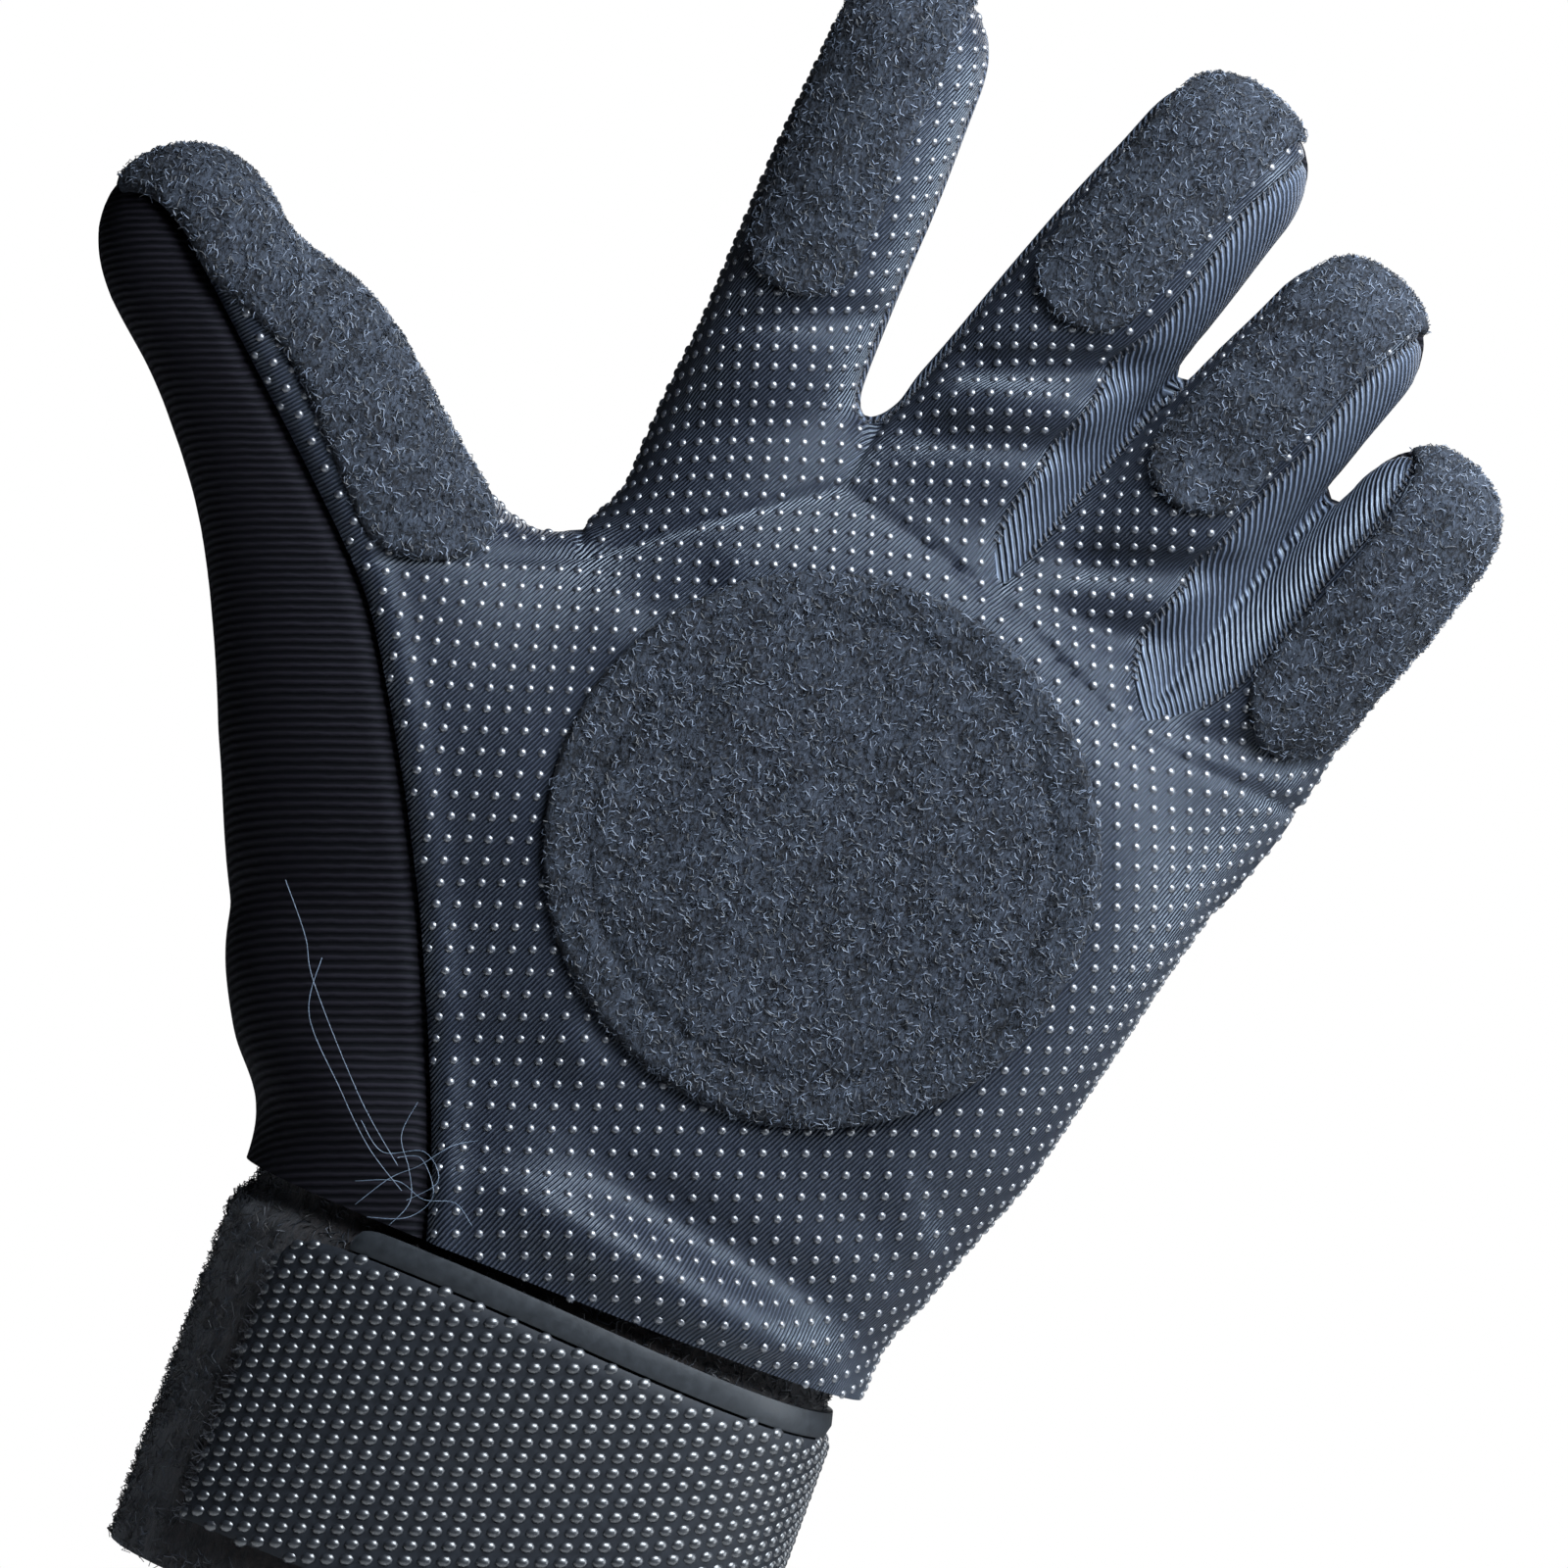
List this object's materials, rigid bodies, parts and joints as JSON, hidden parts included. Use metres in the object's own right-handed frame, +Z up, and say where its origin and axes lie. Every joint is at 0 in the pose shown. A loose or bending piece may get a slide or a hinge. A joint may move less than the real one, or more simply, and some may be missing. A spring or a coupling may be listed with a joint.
{
  "type": "longboard slide glove, left hand",
  "caption": "Fabric slide glove with dotted palm, loop pads on palm and fingertips, ribbed sides and a textured wrist strap.",
  "frame": {"origin": "centre of the opening at the foot of the cuff, where the wrist goes in", "axes": "+Z up the hand from the cuff to the fingers, palm towards -Y, thumb towards -X"},
  "size_m": [0.1941, 0.0634, 0.2389],
  "materials": {
    "palm_cloth": "navy-black twill with raised glossy dots",
    "back_cloth": "matte black fine-ribbed cloth",
    "rib_knit": "ribbed knit with a slight sheen",
    "loop_felt": "charcoal heather loop pile",
    "cuff_loop_cloth": "fuzzy black loop cloth",
    "strap_plastic": "black, embossed with small knobs",
    "tape_plastic": "smooth dull black edge"
  },
  "bodies": {
    "root": {"palm_panel": "palm_cloth", "back_panel": "back_cloth", "side_strip_index_middle": "rib_knit", "side_strip_middle_ring": "rib_knit", "side_strip_ring_little": "rib_knit", "thumb_pad": "loop_felt", "index_pad": "loop_felt", "middle_pad": "loop_felt", "ring_pad": "loop_felt", "little_pad": "loop_felt", "palm_pad": "loop_felt", "cuff_band": "cuff_loop_cloth", "wrist_strap": "strap_plastic", "strap_edge_tape": "tape_plastic"}
  },
  "joints": []
}
